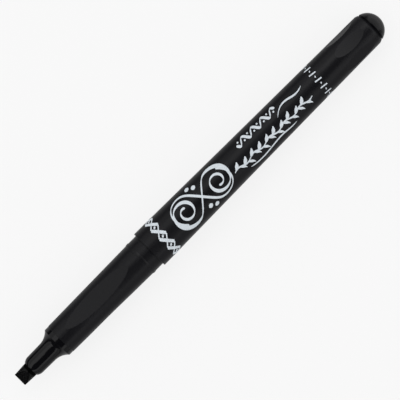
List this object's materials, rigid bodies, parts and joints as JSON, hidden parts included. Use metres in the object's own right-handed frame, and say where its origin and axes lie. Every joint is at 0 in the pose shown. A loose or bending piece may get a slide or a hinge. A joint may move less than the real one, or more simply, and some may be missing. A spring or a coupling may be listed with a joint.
{
  "type": "calligraphy marker",
  "caption": "Uncapped felt-tip calligraphy marker with a broad chisel nib, glossy nose cone, faceted grip section, tapered barrel and domed end plug.",
  "frame": {"origin": "on the pen's axis, at the middle of its length from writing edge to end plug", "axes": "+X along the pen's axis from the nib to the end plug, +Z square to the nib's broad chisel faces, so that the writing edge lies along Y"},
  "size_m": [0.126, 0.0106, 0.0106],
  "materials": {
    "barrel_plastic": "satin black moulded plastic",
    "plug_plastic": "polished black moulded plastic",
    "grip_plastic": "satin black moulded plastic",
    "nose_plastic": "polished black moulded plastic",
    "nib_fibre": "bonded fibre soaked with black ink",
    "reservoir_fibre": "soft bonded fibre filled with black ink",
    "film_plastic": "clear thin film",
    "print_white": "white screen-printed ink ornament"
  },
  "bodies": {
    "barrel": {"barrel": "barrel_plastic", "ink_reservoir": "reservoir_fibre", "reservoir_film": "film_plastic"},
    "section": {"grip_section": "grip_plastic", "nose_cone": "nose_plastic"},
    "nib": {"nib": "nib_fibre"},
    "end_plug": {"end_plug": "plug_plastic"}
  },
  "joints": [
    {"name": "section_pull", "type": "slide", "parent": "barrel", "child": "section", "axis": [-1, 0, 0], "range_m": [0, 0.038]},
    {"name": "nib_pull", "type": "slide", "parent": "section", "child": "nib", "axis": [-1, 0, 0], "range_m": [0, 0.026]},
    {"name": "plug_pull", "type": "slide", "parent": "barrel", "child": "end_plug", "axis": [1, 0, 0], "range_m": [0, 0.01]}
  ]
}
